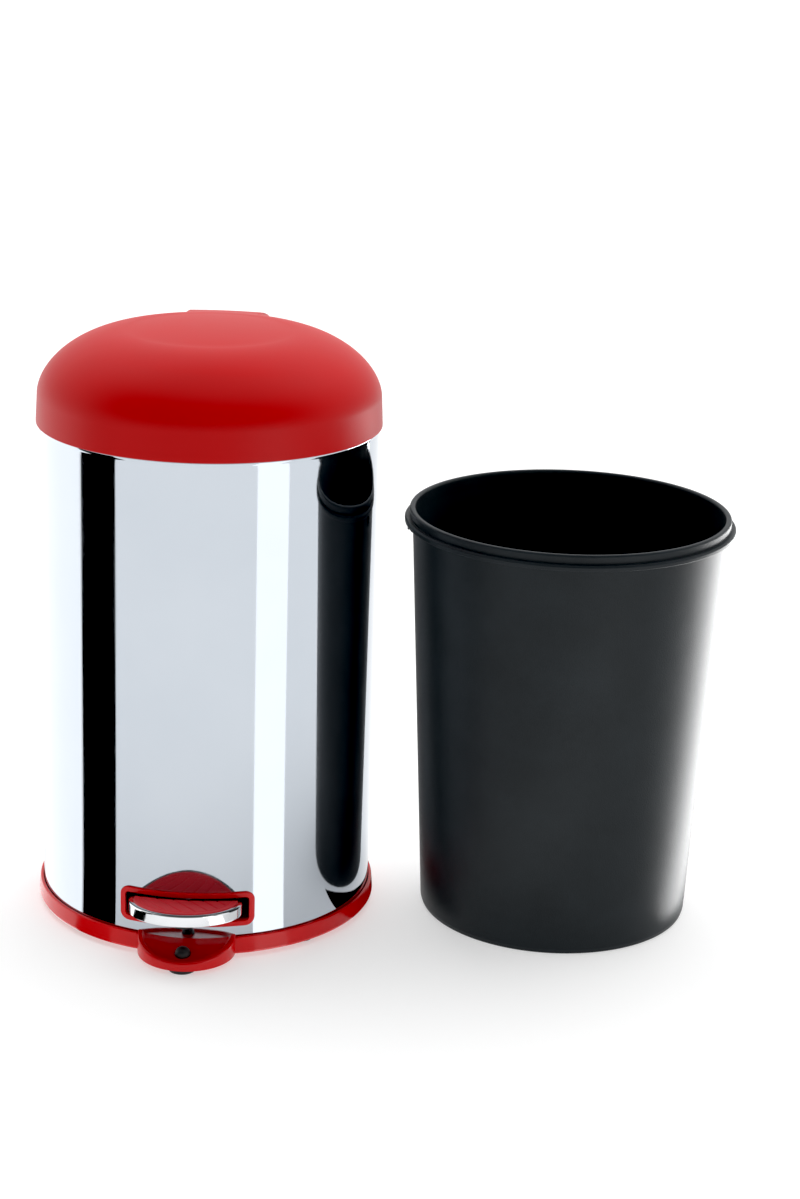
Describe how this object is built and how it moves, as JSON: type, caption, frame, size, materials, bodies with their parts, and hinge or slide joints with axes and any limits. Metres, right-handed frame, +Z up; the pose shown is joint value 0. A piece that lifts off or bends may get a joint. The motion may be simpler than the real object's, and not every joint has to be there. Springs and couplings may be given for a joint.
{
  "type": "pedal bin",
  "caption": "Round steel pedal bin with a domed hinged lid, a half-round foot pedal, a rod linkage behind the body and a loose inner bucket standing beside it.",
  "frame": {"origin": "floor level under the middle of the whole object's box: the closed bin with the bucket standing beside it", "axes": "+Z up; the pedal faces -Y; the loose bucket stands on the +X side of the bin"},
  "size_m": [0.5195, 0.329, 0.445],
  "materials": {
    "polished_steel": "stainless steel sheet, mirror polished",
    "chrome": "pressed steel, bright chrome plated",
    "zinc_steel": "bright zinc plated",
    "red_gloss": "injection moulded, glossy red",
    "red_satin": "injection moulded, satin red",
    "red_pad": "moulded grip pad, satin red",
    "black_plastic": "moulded, satin black",
    "bucket_plastic": "polypropylene, satin charcoal with a fine grain",
    "rubber": "moulded rubber",
    "nylon": "natural nylon",
    "black_wire": "steel wire, black coated"
  },
  "bodies": {
    "bin": {"base_moulding": "red_gloss", "foot_pads": "rubber", "front_foot": "rubber", "pedal_bumper": "rubber", "body_shell": "polished_steel", "shell_rivets": "zinc_steel", "top_collar": "black_plastic", "pedal_bezel": "red_gloss", "pivot_bracket": "zinc_steel", "bracket_screws": "zinc_steel", "pivot_pin": "zinc_steel", "pivot_clip": "zinc_steel", "rod_cover": "black_plastic", "cover_screws": "zinc_steel", "rod_guides": "nylon", "hinge_bracket": "black_plastic", "hinge_screws": "zinc_steel"},
    "pedal": {"pedal_lever": "zinc_steel", "pedal_plate": "chrome", "pedal_pad": "red_pad", "lever_rivets": "zinc_steel", "pedal_stop": "rubber"},
    "rod": {"lift_rod": "zinc_steel", "rod_collar": "zinc_steel"},
    "lid": {"lid_dome": "red_satin", "lid_buffers": "rubber", "lid_lever": "zinc_steel", "lever_screws": "zinc_steel", "link_rivet": "zinc_steel", "hinge_pin": "zinc_steel", "hinge_spacers": "nylon"},
    "bucket": {"bucket": "bucket_plastic"},
    "handle": {"bucket_handle": "black_wire"}
  },
  "joints": [
    {"name": "lid_hinge", "type": "hinge", "parent": "bin", "child": "lid", "pos_m": [-0.13125, 0.1528, 0.37], "axis": [-1, 0, 0], "range_deg": [0, 65]},
    {"name": "pedal_pivot", "type": "hinge", "parent": "bin", "child": "pedal", "pos_m": [-0.13125, -0.01648, 0.02], "axis": [1, 0, 0], "range_deg": [0, 7]},
    {"name": "rod_slide", "type": "slide", "parent": "bin", "child": "rod", "axis": [0, 0, 1], "range_m": [0, 0.01957]},
    {"name": "bucket_lift", "type": "slide", "parent": "bin", "child": "bucket", "axis": [0, 0, 1], "range_m": [0, 0.4]},
    {"name": "bail_swing", "type": "hinge", "parent": "bucket", "child": "handle", "pos_m": [0.13675, 0.01552, 0.296], "axis": [1, 0, 0], "range_deg": [-180, 180]}
  ],
  "couplings": [
    {"joint": "pedal_pivot", "follows": "lid_hinge", "ratio": 0.10769},
    {"joint": "rod_slide", "follows": "lid_hinge", "m_per_rad": 0.017249}
  ]
}
